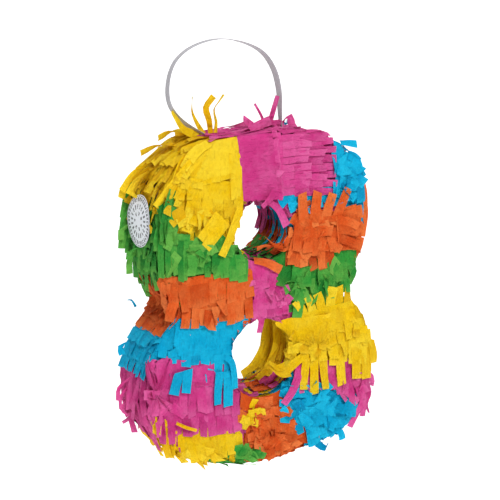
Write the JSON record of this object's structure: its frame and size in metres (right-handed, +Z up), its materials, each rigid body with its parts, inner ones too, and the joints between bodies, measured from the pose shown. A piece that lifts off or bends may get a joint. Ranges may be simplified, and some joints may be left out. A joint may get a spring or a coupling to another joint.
{
  "type": "pinata",
  "caption": "Hanging card pinata shaped as a figure eight with two through holes, covered in patches of cut tissue fringe, with a strap loop and a fill flap.",
  "frame": {"origin": "where a hook or cord bears on the underside of the strap loop's top", "axes": "+Z up, +X to the right as the 8 is read from the front, +Y towards the back"},
  "size_m": [0.31, 0.08, 0.5048],
  "materials": {
    "corrugated_card": "matte",
    "solid_card": "matte",
    "paper_tape": "matte",
    "strap_plastic": "satin",
    "staple_wire": "satin",
    "seal_label": "matte",
    "tissue_yellow": "matte",
    "tissue_pink": "matte",
    "tissue_cyan": "matte",
    "tissue_green": "matte",
    "tissue_orange": "matte"
  },
  "bodies": {
    "strap": {"strap_loop": "strap_plastic"},
    "shell": {"back_edge_tape": "paper_tape", "back_hole_tapes": "paper_tape", "back_panel": "corrugated_card", "bottom_wall": "solid_card", "fringe_cyan_bottom_right": "tissue_cyan", "fringe_cyan_left": "tissue_cyan", "fringe_cyan_right": "tissue_cyan", "fringe_green_bottom": "tissue_green", "fringe_green_left": "tissue_green", "fringe_green_right": "tissue_green", "fringe_orange_bottom": "tissue_orange", "fringe_orange_left": "tissue_orange", "fringe_orange_right": "tissue_orange", "fringe_pink_centre": "tissue_pink", "fringe_pink_left": "tissue_pink", "fringe_pink_right": "tissue_pink", "fringe_pink_top_right": "tissue_pink", "fringe_yellow_bottom": "tissue_yellow", "fringe_yellow_bottom_left": "tissue_yellow", "fringe_yellow_right": "tissue_yellow", "fringe_yellow_top_left": "tissue_yellow", "front_edge_tape": "paper_tape", "front_hole_tapes": "paper_tape", "front_panel": "corrugated_card", "left_strap_tail": "strap_plastic", "lower_hole_wall": "solid_card", "lower_left_wall": "solid_card", "lower_right_wall": "solid_card", "right_strap_tail": "strap_plastic", "strap_staples": "staple_wire", "strap_stiffener": "solid_card", "top_wall": "solid_card", "upper_hole_wall": "solid_card", "upper_left_wall": "solid_card", "upper_right_wall": "solid_card", "wall_joint_tapes": "paper_tape"},
    "flap": {"fill_flap": "solid_card", "flap_fringe": "tissue_green", "seal_sticker": "seal_label"}
  },
  "joints": [
    {"name": "strap_swing", "type": "hinge", "parent": "strap", "child": "shell", "pos_m": [0, 0, -0.0976], "axis": [1, 0, 0], "range_deg": [-90, 90]},
    {"name": "flap_crease", "type": "hinge", "parent": "shell", "child": "flap", "pos_m": [-0.08733, 0, -0.1596], "axis": [0, 1, 0], "range_deg": [0, 85]}
  ]
}
